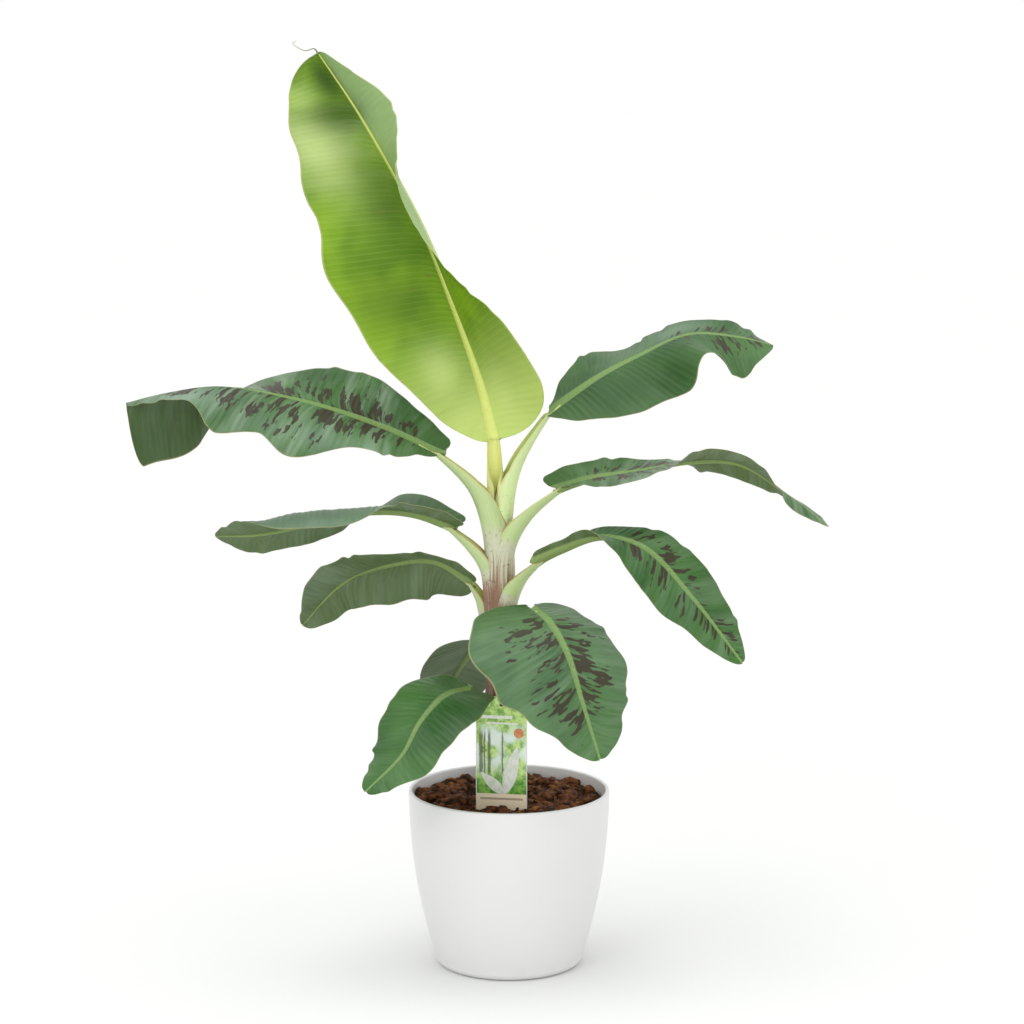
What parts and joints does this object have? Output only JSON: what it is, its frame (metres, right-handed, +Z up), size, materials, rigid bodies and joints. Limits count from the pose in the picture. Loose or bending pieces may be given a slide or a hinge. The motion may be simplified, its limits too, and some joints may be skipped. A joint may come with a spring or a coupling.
{
  "type": "potted banana plant",
  "caption": "Young banana plant with broad drooping leaves on arching stalks from one leafy stem, in a round flared pot with soil and a plant label.",
  "frame": {"origin": "centre of the pot's flat underside", "axes": "+Z up, the front with the plant label faces -Y, and +X is to the right of that front"},
  "size_m": [0.7404, 0.2996, 0.9938],
  "materials": {
    "pot": "smooth off-white moulded plastic with a soft sheen",
    "soil": "loose dark potting soil with bark chips and fibres",
    "label": "thin printed card",
    "stem": "fleshy layered leaf sheaths, reddish brown low down and pale green above",
    "stalk": "fleshy pale green channelled leaf stalk",
    "young_stalk": "fleshy pale yellow leaf stalk",
    "leaf": "dark green pleated leaf with a satin sheen and maroon blotches, grey-green underneath",
    "young_leaf": "bright yellow-green pleated young leaf with a satin sheen"
  },
  "bodies": {
    "root": {"pot": "pot", "soil": "soil", "label": "label", "stem": "stem", "stalk_top": "young_stalk", "stalk_upper_left": "stalk", "stalk_upper_right": "stalk", "stalk_mid_right": "stalk", "stalk_low_right": "stalk", "stalk_mid_left": "stalk", "stalk_low_left": "stalk", "stalk_front": "stalk", "stalk_front_left": "stalk", "stalk_back": "stalk", "leaf_top": "young_leaf", "leaf_upper_left": "leaf", "leaf_upper_right": "leaf", "leaf_mid_right": "leaf", "leaf_low_right": "leaf", "leaf_mid_left": "leaf", "leaf_low_left": "leaf", "leaf_front": "leaf", "leaf_front_left": "leaf", "leaf_back": "leaf"}
  },
  "joints": []
}
